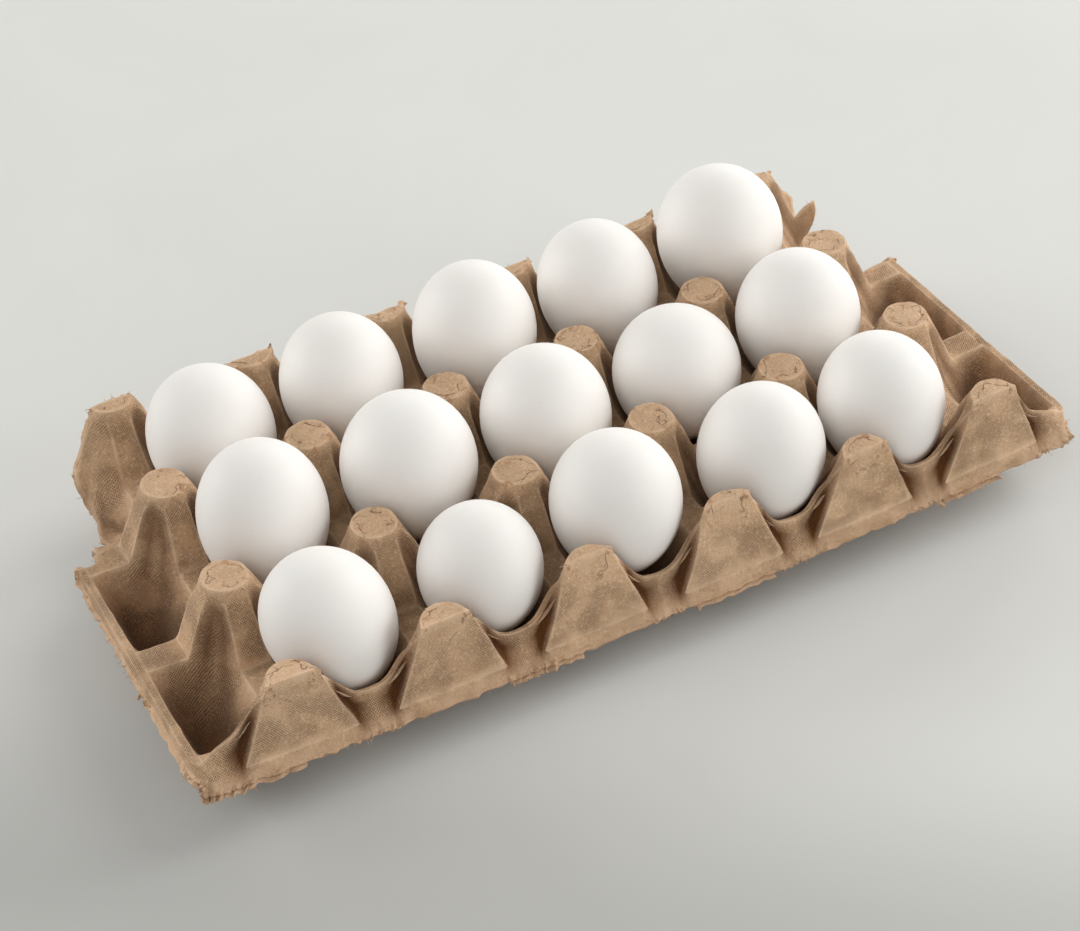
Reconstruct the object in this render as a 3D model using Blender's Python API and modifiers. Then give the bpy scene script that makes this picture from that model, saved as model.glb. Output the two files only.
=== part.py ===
"""Egg tray with fifteen eggs.

A moulded pulp tray, torn off a larger one: five cups by three, fluted posts between the cups, half
posts along the front edge, a half-width empty pocket beyond each end of every row, and a torn back.
Metres, +Z up.  X runs along the rows of five, Y from the front edge to the torn back.  The origin is
on the underside of the middle cup, where the tray stands.
"""
import math
import random

import bpy
from mathutils import Vector
from mathutils.bvhtree import BVHTree

# ---------------------------------------------------------------- driving dimensions
PITCH = 0.047           # from post to post
COLUMNS = 5             # cups along a row
ROWS = 3                # rows of cups
WALL = 0.0018           # thickness of the pulp
FOOT_WEAR = 0.0004      # pressed flat off the undersides of the cups that the tray stands on
CLEARANCE = 0.0008      # below an egg, straight down to the cup wall it leans on

# Plan sizes of the relief, in pitches from a post's axis
DISC_FLAT = 0.118       # flat of a post's top
DISC_EDGE = 0.158       # rounded edge of a post's top
RIB_TOP = 0.070         # half the width of a post's flute face, at the top
SPINE_FOOT = 0.345      # where a post's flute face comes down on the ridge
RIDGE_HALF = 0.100      # half the width of the flat-topped ridges between posts
SEAT_REACH = 0.235      # a cup's shoulder, from the axis of the ridge beside it
FLOOR_RADIUS = 0.160    # a cup's round floor

# Levels of the relief, in pitches from the post tops
SHOULDER_LEVEL = -0.035
RIDGE_LEVEL = -0.475
SEAT_LEVEL = -0.640
FLOOR_LEVEL = -0.930

# End pockets and their rim, in pitches outwards from the end posts' axis
POCKET_REACHES = (0.500, 0.615, 0.675, 0.686, 0.694)
POCKET_LEVELS = (FLOOR_LEVEL, RIDGE_LEVEL, RIDGE_LEVEL, -0.520, -0.585)
CORNER_REACHES = (0.570, 0.610, 0.640, 0.660)           # of the foot and skirt, round a corner
POCKET_SIDES = (0.0, RIDGE_HALF, 0.180, 0.310, 0.5)     # across a pocket, from its ridge
POCKET_SEAT = -0.750                                    # level of a pocket's own shoulder

# Front edge: half posts with a flat outer side, a sloping sill between them, and the skirt
FOOT_WIDTHS = (0.0, 0.190, 0.365, 0.410, 0.5)   # along the foot, from a half post's middle
FOOT_OUTS = (0.030, 0.030, 0.030, 0.010, 0.010)     # and how far each place stands out
FOOT_LEVEL = -0.560
SILL_OUT = -0.028       # outer edge of the sill and of the pockets' rim, in front of the posts' axis
SILL_LEVEL = -0.515
SILL_FOOT = 0.366       # where the sill's outer edge meets a half post
SKIRT_OUT = 0.072
SKIRT_LEVEL = -0.630
CORNER_INSET = 0.060    # centre of the rounded corners, inwards from the rim's inside edge

BACK_TEAR = 0.030       # the back posts are torn through this far in front of their axis
TEAR_SLANT = 0.015      # and further back to the right, with each step of the lattice
TEAR_RAGGED = 0.018     # how far a torn edge wanders
RIDGE_TEAR = 0.040      # the right end's last ridge is torn this far behind its axis
BOW = 0.047             # how far the ends of the tray curl up, in pitches
BOW_FLAT = 0.250        # half length of the straight middle, in pitches

STEPS = 8               # lattice steps from post to post
HALF_STEPS = STEPS // 2
END_STEPS = len(POCKET_REACHES) - 1     # further steps from a pocket's floor to the lip
SKIRT_STEPS = 2         # rows of the lattice in front of the half posts' axis
TEAR_ROW = (ROWS - 1) * STEPS           # the end pockets are torn away behind this row
LAST_ROW = ROWS * STEPS
LAST_POST = COLUMNS * STEPS             # column of the last posts

# Places of the bent scraps that hang on beside the torn pockets, by column and row of the lattice
SCRAPS = {
    (-4, TEAR_ROW + 2): (-0.46, 2.235, -0.54),
    (-3, TEAR_ROW + 2): (-0.345, 2.235, -0.60),
    (-3, TEAR_ROW + 3): (-0.40, 2.36, -0.62),
    (-3, TEAR_ROW + 4): (-0.31, 2.50, -0.62),
    (-3, TEAR_ROW + 5): (-0.34, 2.66, -0.64),
    (LAST_POST + 3, TEAR_ROW + 3): (5.38, 2.37, -0.70),
    (LAST_POST + 3, TEAR_ROW + 4): (5.32, 2.50, -0.68),
    (LAST_POST + 3, TEAR_ROW + 5): (5.35, 2.64, -0.70),
    (LAST_POST + 4, LAST_ROW - 2): (5.46, 2.80, -0.52),
    (LAST_POST + 4, LAST_ROW - 1): (5.54, 2.93, -0.42),
    (LAST_POST + 3, LAST_ROW): (5.37, 3.08, -0.42),
}

HEIGHT = WALL - FOOT_WEAR - FLOOR_LEVEL * PITCH     # from the ground to the top of the posts

# ---------------------------------------------------------------- eggs
EGG_SIDES = 16
EGG_SPANS = 8
EGG_BLUNTNESS = 0.07    # how much fuller the upper, blunt end is
MILLIMETRE = 0.001

# For each egg: girth and length in mm, lean to the back and to the right in degrees, and how far it
# sits from the middle of its cup, to the right and to the back, in mm
EGGS = {
    "front": ((38.3, 48.7, 4, -16, -2.0, 0.1), (37.2, 46.6, -9, -4, -1.2, 0.0),
              (39.8, 50.1, -7, -4, -2.5, 0.0), (39.2, 50.3, -9, 1, 0.9, -0.5),
              (39.4, 50.3, 2, -10, -1.2, 0.2)),
    "middle": ((39.4, 51.5, 4, 2, -1.8, 0.6), (42.0, 52.9, -10, -4, -1.2, -0.4),
               (41.0, 52.2, -3, -5, -0.6, 0.1), (41.0, 47.0, -5, -4, -0.4, 0.0),
               (40.3, 50.4, -6, -6, -1.7, 0.3)),
    "back": ((40.1, 49.5, 3, -3, 0.4, 0.1), (39.3, 50.0, -2, -1, -1.4, 1.0),
             (40.3, 52.5, -2, 0, -0.6, 1.4), (39.7, 50.7, 1, -7, -1.8, 1.4),
             (42.2, 52.4, -6, -6, -1.8, 1.2)),
}


def clear_scene():
    """Start from an empty file."""
    for thing in list(bpy.data.objects):
        bpy.data.objects.remove(thing, do_unlink=True)


def make_material(name, colour, roughness):
    """A plain Principled material."""
    material = bpy.data.materials.new(name)
    material.use_nodes = True
    shader = material.node_tree.nodes["Principled BSDF"]
    shader.inputs["Base Color"].default_value = (*colour, 1.0)
    shader.inputs["Roughness"].default_value = roughness
    shader.inputs["Metallic"].default_value = 0.0
    return material


# ---------------------------------------------------------------- the tray's relief
def on_circle(radius, angle):
    """A point on a circle round a post."""
    return radius * math.cos(angle), radius * math.sin(angle)


def eighth_of_pattern():
    """Offset and level of each lattice point in one eighth of the pattern round a post."""
    diagonal = math.pi / 4
    rib_angle = math.asin(RIB_TOP / DISC_EDGE)
    floor_near = 0.5 - FLOOR_RADIUS
    floor_corner = 0.5 - FLOOR_RADIUS * math.cos(diagonal)
    return {
        (0, 0): (0.0, 0.0, 0.0),
        (1, 0): (DISC_FLAT, 0.0, 0.0),
        (1, 1): (*on_circle(DISC_FLAT, diagonal), 0.0),
        (2, 0): (DISC_EDGE, 0.0, SHOULDER_LEVEL),
        (2, 1): (*on_circle(DISC_EDGE, rib_angle), SHOULDER_LEVEL),
        (2, 2): (*on_circle(DISC_EDGE, diagonal), SHOULDER_LEVEL),
        (3, 0): (SPINE_FOOT, 0.0, RIDGE_LEVEL),
        (3, 1): (SPINE_FOOT, RIDGE_HALF, RIDGE_LEVEL),
        (3, 2): (SPINE_FOOT, SEAT_REACH, SEAT_LEVEL),
        (3, 3): (floor_corner, floor_corner, FLOOR_LEVEL),
        (4, 0): (0.5, 0.0, RIDGE_LEVEL),
        (4, 1): (0.5, RIDGE_HALF, RIDGE_LEVEL),
        (4, 2): (0.5, SEAT_REACH, SEAT_LEVEL),
        (4, 3): (0.5, floor_near, FLOOR_LEVEL),
        (4, 4): (0.5, 0.5, FLOOR_LEVEL),
    }


PATTERN = eighth_of_pattern()


def cup_point(along, across):
    """Offset and level of a lattice point up to half a pitch from its post."""
    longer = max(abs(along), abs(across))
    shorter = min(abs(along), abs(across))
    far, near, level = PATTERN[(longer, shorter)]
    x, y = (far, near) if abs(along) >= abs(across) else (near, far)
    return math.copysign(x, along), math.copysign(y, across), level


def pocket_point(along, across):
    """Offset and level of a lattice point in the outer part of an end pocket, or on its rim."""
    step = abs(along) - HALF_STEPS
    level = POCKET_LEVELS[step]
    if step == 0 and abs(across) <= 2:
        level = POCKET_SEAT if abs(across) == 2 else RIDGE_LEVEL
    return (math.copysign(POCKET_REACHES[step], along),
            math.copysign(POCKET_SIDES[abs(across)], across), level)


def front_point(along, across):
    """Offset and level of a lattice point on the sill, the outer sides or the skirt."""
    step = abs(along)
    if across == 0:
        at_end = step > HALF_STEPS
        x = SILL_FOOT if step < HALF_STEPS else (0.5, *POCKET_REACHES[1:])[step - HALF_STEPS]
        level = POCKET_LEVELS[step - HALF_STEPS] if at_end else SILL_LEVEL
        return math.copysign(x, along), -SILL_OUT, level
    x = (FOOT_WIDTHS + CORNER_REACHES)[step]
    foot_out = FOOT_OUTS[step] if step <= HALF_STEPS else FOOT_OUTS[0]
    out, level = ((foot_out, FOOT_LEVEL), (SKIRT_OUT, SKIRT_LEVEL))[-across - 1]
    if step > HALF_STEPS:
        level = min(level, POCKET_LEVELS[step - HALF_STEPS])
    return math.copysign(x, along), -out, level


def round_corner(x, y):
    """Bring the rim's square corners round to an arc."""
    middle = COLUMNS / 2
    centre_x = middle + POCKET_REACHES[1] - CORNER_INSET
    over_x = abs(x - middle) - centre_x
    over_y = RIDGE_HALF - y
    if over_x <= 0 or over_y <= 0:
        return x, y
    scale = max(over_x, over_y) / math.hypot(over_x, over_y)
    side = math.copysign(1.0, x - middle)
    return middle + side * (centre_x + over_x * scale), RIDGE_HALF - over_y * scale


def bow_at(x):
    """Rise of the tray's curled ends."""
    past = max(0.0, abs(x - COLUMNS / 2) - BOW_FLAT)
    return BOW * (past / (COLUMNS / 2 - BOW_FLAT)) ** 2


def lattice_point(column, row):
    """Place of one lattice point of the tray's upper face, in pitches from the first post."""
    if (column, row) in SCRAPS:
        x, y, level = SCRAPS[(column, row)]
        return x, y, level + bow_at(x)
    post = min(max(round(column / STEPS), 0), COLUMNS)
    line = min(max(round(row / STEPS), 0), ROWS)
    along = column - post * STEPS
    across = row - line * STEPS
    at_end = column <= -HALF_STEPS or column >= LAST_POST + HALF_STEPS
    on_sill = row == 0 and abs(along) > 2
    if row < 0 or on_sill:
        x, y, level = front_point(along, across)
    elif at_end:
        x, y, level = pocket_point(along, across)
    else:
        x, y, level = cup_point(along, across)
    x, y = round_corner(post + x, line + y)
    if row == TEAR_ROW and column > LAST_POST + 2:
        y += RIDGE_TEAR
    tear = ROWS - BACK_TEAR + TEAR_SLANT * along
    return x, min(y, tear), level + bow_at(x)


# ---------------------------------------------------------------- the torn edges
def is_torn_off(column, row):
    """Whether the lattice face right of and behind this point went with the rest of the tray."""
    past_left = -column
    past_right = column + 1 - LAST_POST
    if row < TEAR_ROW or max(past_left, past_right) <= 3:
        return False
    left_scrap = past_left == 4 and row < TEAR_ROW + 2
    right_scrap = past_right == 4 and row == LAST_ROW - 2
    return not (left_scrap or right_scrap)


def build_ground(collection):
    """The block that presses the lowest cups flat: its top is the ground."""
    length = 2 * COLUMNS * PITCH
    bpy.ops.mesh.primitive_cube_add(size=length, location=(0.0, 0.0, -length / 2))
    ground = bpy.context.object
    ground.name = "ground"
    ground.hide_render = True
    ground.display_type = "WIRE"
    for owner in list(ground.users_collection):
        owner.objects.unlink(ground)
    collection.objects.link(ground)
    return ground


def build_tray(collection, material, ground):
    """The pulp tray: a lattice brought to the relief, torn, and given its thickness."""
    first_column = -(HALF_STEPS + END_STEPS)
    last_column = LAST_POST + HALF_STEPS + END_STEPS
    across = last_column - first_column
    deep = LAST_ROW + SKIRT_STEPS
    bpy.ops.mesh.primitive_grid_add(x_subdivisions=across, y_subdivisions=deep, size=1.0)
    tray = bpy.context.object
    tray.name = "tray"
    mesh = tray.data
    mesh.name = "tray"
    lattice = []
    for vertex in mesh.vertices:
        column = round((vertex.co.x + 0.5) * across) + first_column
        row = round((vertex.co.y + 0.5) * deep) - SKIRT_STEPS
        lattice.append((column, row))

    ragged = random.Random(15)
    for vertex, (column, row) in zip(mesh.vertices, lattice):
        x, y, level = lattice_point(column, row)
        wander = ragged.uniform(-TEAR_RAGGED, TEAR_RAGGED)
        if row == LAST_ROW:
            y += wander
        elif row == -SKIRT_STEPS and -HALF_STEPS <= column <= LAST_POST + HALF_STEPS:
            level += 0.5 * wander
        vertex.co = ((x - COLUMNS / 2) * PITCH, (y - ROWS / 2) * PITCH, HEIGHT + level * PITCH)

    bpy.ops.object.mode_set(mode="EDIT")
    bpy.ops.mesh.select_mode(type="FACE")
    bpy.ops.mesh.select_all(action="DESELECT")
    bpy.ops.object.mode_set(mode="OBJECT")
    for face in mesh.polygons:
        column = min(lattice[corner][0] for corner in face.vertices)
        row = min(lattice[corner][1] for corner in face.vertices)
        face.select = is_torn_off(column, row)
    bpy.ops.object.mode_set(mode="EDIT")
    bpy.ops.mesh.delete(type="FACE")
    bpy.ops.object.mode_set(mode="OBJECT")

    shell = tray.modifiers.new("pulp thickness", "SOLIDIFY")
    shell.thickness = WALL
    shell.offset = -1.0
    shell.use_even_offset = True
    foot = tray.modifiers.new("flat foot", "BOOLEAN")
    foot.operation = "DIFFERENCE"
    foot.object = ground
    mesh.materials.append(material)
    for owner in list(tray.users_collection):
        owner.objects.unlink(tray)
    collection.objects.link(tray)
    return tray


# ---------------------------------------------------------------- eggs
def egg_profile(girth, length):
    """Half outline of an egg from its blunt top down."""
    points = []
    for step in range(EGG_SPANS + 1):
        angle = math.pi * step / EGG_SPANS
        height = math.cos(angle)
        radius = math.sin(angle) * (1.0 + EGG_BLUNTNESS * height)
        points.append((0.5 * girth * radius, 0.0, 0.5 * length * height))
    return points


def build_egg(name, girth, length, collection, material):
    """One egg, standing at the origin: a profile turned round its axis."""
    mesh = bpy.data.meshes.new(name)
    spans = [(step, step + 1) for step in range(EGG_SPANS)]
    mesh.from_pydata(egg_profile(girth, length), spans, [])
    egg = bpy.data.objects.new(name, mesh)
    turned = egg.modifiers.new("turned", "SCREW")
    turned.steps = EGG_SIDES
    turned.render_steps = EGG_SIDES
    turned.use_merge_vertices = True
    turned.merge_threshold = 0.00001
    turned.use_smooth_shade = True
    mesh.materials.append(material)
    collection.objects.link(egg)
    return egg


def settle(egg, tray_tree):
    """Lower an egg into its cup until it leans on the wall, less the clearance."""
    bpy.context.view_layer.update()
    depsgraph = bpy.context.evaluated_depsgraph_get()
    shape = egg.evaluated_get(depsgraph)
    mesh = shape.to_mesh()
    down = Vector((0.0, 0.0, -1.0))
    lift = -HEIGHT
    for vertex in mesh.vertices:
        place = egg.matrix_world @ vertex.co
        hit = tray_tree.ray_cast(Vector((place.x, place.y, 3 * HEIGHT)), down)[0]
        if hit is not None:
            lift = max(lift, hit.z - place.z)
    shape.to_mesh_clear()
    egg.location.z += lift + CLEARANCE


def build_eggs(collection, material, tray):
    """The fifteen eggs, each settled in its cup."""
    bpy.context.view_layer.update()
    tree = BVHTree.FromObject(tray, bpy.context.evaluated_depsgraph_get())
    for row, (row_name, eggs) in enumerate(EGGS.items()):
        for column, (girth, length, lean_back, lean_right, right, back) in enumerate(eggs):
            egg = build_egg(f"egg_{row_name}_{column + 1}", girth * MILLIMETRE,
                            length * MILLIMETRE, collection, material)
            egg.rotation_euler = (math.radians(-lean_back), math.radians(lean_right), 0.0)
            egg.location = ((column + 0.5 - COLUMNS / 2) * PITCH + right * MILLIMETRE,
                            (row + 0.5 - ROWS / 2) * PITCH + back * MILLIMETRE, HEIGHT)
            settle(egg, tree)


def main():
    clear_scene()
    collection = bpy.data.collections.new("egg tray with eggs")
    bpy.context.scene.collection.children.link(collection)
    cutters = bpy.data.collections.new("cutters")
    bpy.context.scene.collection.children.link(cutters)
    pulp = make_material("moulded pulp", (0.43, 0.29, 0.19), 0.95)
    shell = make_material("white eggshell", (0.86, 0.83, 0.79), 0.55)
    tray = build_tray(collection, pulp, build_ground(cutters))
    build_eggs(collection, shell, tray)


main()
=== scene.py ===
"""Looks of the egg tray: moulded pulp with ribbed posts and torn edges, and fifteen white eggs."""
import math
import random

import bmesh
import bpy
from mathutils import Matrix, Vector


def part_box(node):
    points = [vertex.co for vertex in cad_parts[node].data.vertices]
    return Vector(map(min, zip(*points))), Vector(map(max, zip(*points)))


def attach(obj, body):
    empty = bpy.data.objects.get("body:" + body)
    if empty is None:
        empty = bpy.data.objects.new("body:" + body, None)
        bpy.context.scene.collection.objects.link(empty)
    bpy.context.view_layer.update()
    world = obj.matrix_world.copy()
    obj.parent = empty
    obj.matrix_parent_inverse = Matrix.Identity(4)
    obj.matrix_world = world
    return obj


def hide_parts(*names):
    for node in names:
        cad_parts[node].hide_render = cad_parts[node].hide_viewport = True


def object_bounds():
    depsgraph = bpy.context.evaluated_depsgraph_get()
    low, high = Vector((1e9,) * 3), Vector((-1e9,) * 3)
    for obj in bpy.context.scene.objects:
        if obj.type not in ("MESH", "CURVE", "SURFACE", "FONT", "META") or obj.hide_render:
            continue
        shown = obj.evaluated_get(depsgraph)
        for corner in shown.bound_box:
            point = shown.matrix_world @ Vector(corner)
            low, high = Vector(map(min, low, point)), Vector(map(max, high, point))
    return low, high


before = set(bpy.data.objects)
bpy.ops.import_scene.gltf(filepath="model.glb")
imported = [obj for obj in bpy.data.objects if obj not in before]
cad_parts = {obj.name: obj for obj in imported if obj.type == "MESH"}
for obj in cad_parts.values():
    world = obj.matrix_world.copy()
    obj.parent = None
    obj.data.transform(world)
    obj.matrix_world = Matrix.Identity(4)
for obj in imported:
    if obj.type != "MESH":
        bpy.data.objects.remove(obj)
cad_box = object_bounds()

# ---------------------------------------------------------------- the mould, in pitches
PITCH = 0.047
COLUMNS = 5
ROWS = 3
WALL = 0.0018
FOOT_WEAR = 0.0004
STEPS = 10              # lattice steps from post to post
HALF = STEPS // 2
END_STEPS = 4           # from a pocket's floor to the lip
SKIRT_STEPS = 3         # in front of the half posts' axis
LAST_POST = COLUMNS * STEPS
LAST_ROW = ROWS * STEPS
TEAR_ROW = (ROWS - 1) * STEPS
FIRST_COLUMN = -(HALF + END_STEPS)
FINAL_COLUMN = LAST_POST + HALF + END_STEPS
POST_COLUMNS = range(0, LAST_POST + 1, STEPS)
POST_ROWS = range(0, LAST_ROW + 1, STEPS)
HALF_RING = ((1, 0), (1, 1), (0, 1), (-1, 1), (-1, 0))

FLOOR_LEVEL = -0.930
RIDGE_LEVEL = -0.475
HEIGHT = WALL - FOOT_WEAR - FLOOR_LEVEL * PITCH

# Offset and level of the lattice points in one eighth of the pattern round a post: the disc on
# top, the flat spine down each side, and the valley between two spines
POST_PATTERN = {
    (0, 0): (0.0, 0.0, 0.0),
    (1, 0): (0.166, 0.0, -0.004), (1, 1): (0.117, 0.117, -0.004),
    (2, 0): (0.176, 0.0, -0.060), (2, 1): (0.170, 0.077, -0.060), (2, 2): (0.103, 0.103, -0.085),
    (3, 0): (0.255, 0.0, -0.260), (3, 1): (0.250, 0.087, -0.260), (3, 2): (0.178, 0.106, -0.300),
    (3, 3): (0.163, 0.163, -0.355),
    (4, 0): (0.345, 0.0, RIDGE_LEVEL), (4, 1): (0.345, 0.100, RIDGE_LEVEL),
    (4, 2): (0.335, 0.225, -0.640), (4, 3): (0.350, 0.300, -0.800),
    (4, 4): (0.385, 0.385, FLOOR_LEVEL),
    (5, 0): (0.5, 0.0, RIDGE_LEVEL), (5, 1): (0.5, 0.100, RIDGE_LEVEL),
    (5, 2): (0.5, 0.225, -0.640), (5, 3): (0.5, 0.295, -0.800), (5, 4): (0.5, 0.340, FLOOR_LEVEL),
    (5, 5): (0.5, 0.5, FLOOR_LEVEL),
}

# End pockets: reach and level from the floor's line out to the lip, and stations across a pocket
POCKET_REACHES = (0.500, 0.612, 0.660, 0.664, 0.668)
POCKET_LEVELS = (FLOOR_LEVEL, RIDGE_LEVEL, RIDGE_LEVEL, -0.530, -0.580)
POCKET_SIDES = (0.0, 0.100, 0.180, 0.245, 0.310, 0.5)
POCKET_SIDE_LEVELS = (RIDGE_LEVEL, RIDGE_LEVEL, -0.750, -0.850, FLOOR_LEVEL, FLOOR_LEVEL)
CORNER_REACHES = (0.570, 0.610, 0.640, 0.660)
CORNER_INSET = 0.060

# Front edge: x, distance in front of the posts' axis and level, by steps from a half post's middle
SILL = ((0.0, 0.0, 0.0), (0.152, 0.0, -0.006), (0.172, 0.0, -0.060), (0.276, -0.055, -0.215),
        (0.365, -0.057, -0.385), (0.5, -0.055, -0.408))
OUTER_SIDE = ((0.0, 0.018, -0.290), (0.145, 0.018, -0.290), (0.262, 0.018, -0.300),
              (0.296, -0.104, -0.400), (0.352, -0.050, -0.480), (0.5, -0.026, -0.490))
FOOT = ((0.0, 0.034, -0.560), (0.190, 0.034, -0.560), (0.368, 0.034, -0.560),
        (0.388, -0.030, -0.550), (0.430, -0.006, -0.556), (0.5, 0.004, -0.558))
FRONT_CREST = (0.0, 0.0, 0.0, 0.045, 0.090, 0.067)  # rise of the ridge between the half posts
SKIRT = ((0.0, 0.072, -0.630), (0.190, 0.072, -0.630), (0.345, 0.072, -0.630),
         (0.395, 0.070, -0.630), (0.440, 0.070, -0.630), (0.5, 0.070, -0.630))
FRONT_ROWS = (SILL, OUTER_SIDE, FOOT, SKIRT)
# Painted shade in the hollows beside the half posts, by row and steps away, and on the skirt's edge
FRONT_PIT_SHADES = {(-1, 3): 2.8, (-1, 4): 1.5, (-2, 3): 1.6, (-2, 4): 0.6, (0, 3): 0.5}
SKIRT_SHADE = 0.28
# Painted shade in the valleys beside the spines, by steps away from a post and to the side
VALLEY_SHADES = {(2, 2): 0.50, (3, 2): 0.85, (3, 3): 0.25, (4, 2): 0.60, (4, 3): 0.60}
CORNER_OUTS = (-0.028, 0.010, 0.030, 0.072)
CORNER_LEVELS = (-0.475, -0.530, -0.560, -0.630)
FACE_SET_BACK = (0.010, 0.010, -0.055, -0.065, 0.0, 0.0)    # of each half post's cut-off top

BACK_TEAR = 0.030
TEAR_SLANT = 0.012
RIDGE_TEARS = (0.050, 0.085, 0.080, 0.065, 0.050, 0.040)
BOW = 0.047
BOW_FLAT = 0.250

SWELLS = ((0.016, 0.0010), (0.004, 0.0005))                 # size and height of the uneven wall
FOLD_WIDTH = 0.0010
FOLD_SHARE = 0.5          # of that width, for the sharper folds
VALLEY_CREASE = 0.7
FRINGE = ((0.0005, 0.0002, 0.8), (0.0005, 0.0002, 0.45))    # reach, sag and share of the wall
FRINGE_ROUGHNESS = 0.0005
SHRED_DEPTH = 0.006
SHREDS = ((0.0040, 0.0018), (0.0014, 0.0016))               # size and depth of the rough strip
LIPS = ((-0.0010, 0.0007), (0.0014, 0.0009))                # reach and sag of a split rim's folds
LIP_WALL = 0.35
LIP_ROUGHNESS = 0.0003
LIP_SEED = 7
SPLIT_LINE = -0.030                                         # only in front of this the rim splits
SPLITS = ((-0.160, -0.118), (-0.052, -0.030), (0.008, 0.036), (0.096, 0.118))
FIBRE_SEED = 15
FIBRE_COUNTS = (420, 90)                                    # on the torn rim and on the post tops
FIBRE_GIRTH = 0.00009
FIBRE_STEPS = ((0.00045, 18), (0.00045, -26), (0.00040, 30), (0.00030, -22))
FIBRE_SIZES = (0.5, 1.5)
FIBRE_SIDES = 5
FIBRE_TAPER = 0.72
FIBRE_LIFTS = (-0.2, 0.3)                                   # how far they stand up, on rim and tops
FIBRE_SPREAD = 0.8
HALF_LENGTH = 0.150
HALF_DEPTH = 0.075
SMOOTH_ANGLE = 40

# Places of the bent scraps that hang on beside the torn pockets
SCRAPS = {
    (-5, TEAR_ROW + 2): (-0.46, 2.235, -0.54),
    (-4, TEAR_ROW + 2): (-0.36, 2.220, -0.56), (-3, TEAR_ROW + 2): (-0.25, 2.170, -0.52),
    (-4, TEAR_ROW + 3): (-0.385, 2.290, -0.58), (-3, TEAR_ROW + 3): (-0.27, 2.280, -0.58),
    (-4, TEAR_ROW + 4): (-0.385, 2.370, -0.59), (-3, TEAR_ROW + 4): (-0.28, 2.370, -0.62),
    (-4, TEAR_ROW + 5): (-0.33, 2.500, -0.59), (-3, TEAR_ROW + 5): (-0.25, 2.500, -0.64),
    (-4, TEAR_ROW + 6): (-0.340, 2.620, -0.60), (-3, TEAR_ROW + 6): (-0.25, 2.630, -0.58),
    (-4, TEAR_ROW + 7): (-0.345, 2.690, -0.62), (-3, TEAR_ROW + 7): (-0.25, 2.750, -0.50),
    (-2, LAST_ROW - 2): (-0.128, 2.872, -0.085), (-3, LAST_ROW - 2): (-0.235, 2.850, -0.270),
    (-2, LAST_ROW - 3): (-0.150, 2.770, -0.280), (-3, LAST_ROW - 3): (-0.225, 2.775, -0.340),
    (-2, LAST_ROW - 4): (-0.210, 2.665, -0.520), (-3, LAST_ROW - 4): (-0.275, 2.690, -0.560),
    (1, LAST_ROW): (0.150, 2.975, -0.012), (0, LAST_ROW): (0.0, 2.972, 0.010),
    (-1, LAST_ROW): (-0.128, 2.965, -0.030), (-2, LAST_ROW): (-0.165, 2.957, -0.095),
    (-3, LAST_ROW): (-0.225, 2.950, -0.250),
    (LAST_POST + 1, LAST_ROW): (5.165, 2.985, -0.035),
    (LAST_POST + 2, LAST_ROW): (5.19, 2.99, -0.10),
    (LAST_POST + 2, LAST_ROW - 1): (5.20, 2.92, -0.055),
    (LAST_POST + 4, TEAR_ROW + 4): (5.38, 2.37, -0.70),
    (LAST_POST + 4, TEAR_ROW + 5): (5.32, 2.50, -0.68),
    (LAST_POST + 4, TEAR_ROW + 6): (5.35, 2.64, -0.70),
    (LAST_POST + 5, LAST_ROW - 2): (5.49, 2.80, -0.47),
    (LAST_POST + 5, LAST_ROW - 1): (5.54, 2.92, -0.35),
    (LAST_POST + 4, LAST_ROW): (5.42, 3.02, -0.36),
}

# ---------------------------------------------------------------- eggs: girth and length in mm,
# lean to the back and to the right in degrees
EGGS = {
    "front": ((38.3, 48.7, 4, -16), (37.2, 46.6, -9, -4), (39.8, 50.1, -7, -4),
              (39.2, 50.3, -9, 1), (39.4, 50.3, 2, -10)),
    "middle": ((39.4, 51.5, 4, 2), (42.0, 52.9, -10, -4), (41.0, 52.2, -3, -5),
               (41.0, 47.0, -5, -4), (40.3, 50.4, -6, -6)),
    "back": ((40.1, 49.5, 3, -3), (39.3, 50.0, -2, -1), (40.3, 52.5, -2, 0),
             (39.7, 50.7, 1, -7), (42.2, 52.4, -6, -6)),
}
EGG_BLUNTNESS = 0.07
EGG_MERIDIANS = 56
EGG_RINGS = 36


# ---------------------------------------------------------------- working by hand
def lay_down_tools():
    """Leave edit mode and let go of everything."""
    if bpy.context.object and bpy.context.object.mode != "OBJECT":
        bpy.ops.object.mode_set(mode="OBJECT")
    bpy.ops.object.select_all(action="DESELECT")


def take(piece):
    """Make a piece the one that is worked on."""
    lay_down_tools()
    bpy.context.view_layer.objects.active = piece
    piece.select_set(True)


def named(name):
    """Name the primitive that was just added."""
    piece = bpy.context.object
    piece.name = name
    piece.data.name = name
    return piece


def grab_from(piece, kind, choose):
    """Select, in edit mode, what is chosen from the piece's points, edges or faces."""
    bpy.ops.mesh.select_mode(type=kind)
    bpy.ops.mesh.select_all(action="DESELECT")
    net = bmesh.from_edit_mesh(piece.data)
    parts = {"VERT": net.verts, "EDGE": net.edges, "FACE": net.faces}[kind]
    parts.ensure_lookup_table()
    for part in choose(parts):
        part.select_set(True)
    net.select_flush_mode()
    bmesh.update_edit_mesh(piece.data)


def grab(piece, kind, numbers):
    """Select some points, edges or faces by their numbers."""
    grab_from(piece, kind, lambda parts: [parts[number] for number in numbers])


def grab_where(piece, kind, wanted):
    """Select the points, edges or faces that a test picks out."""
    grab_from(piece, kind, lambda parts: [part for part in parts if wanted(part)])


def pull(piece, ways):
    """Move points along their ways; those that go the same way are moved together."""
    groups = {}
    for number, way in ways.items():
        if way.length > 1e-7:
            groups.setdefault(tuple(round(part, 6) for part in way), []).append(number)
    take(piece)
    bpy.ops.object.mode_set(mode="EDIT")
    for way, numbers in groups.items():
        grab(piece, "VERT", numbers)
        bpy.ops.transform.translate(value=way)
    bpy.ops.object.mode_set(mode="OBJECT")


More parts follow.
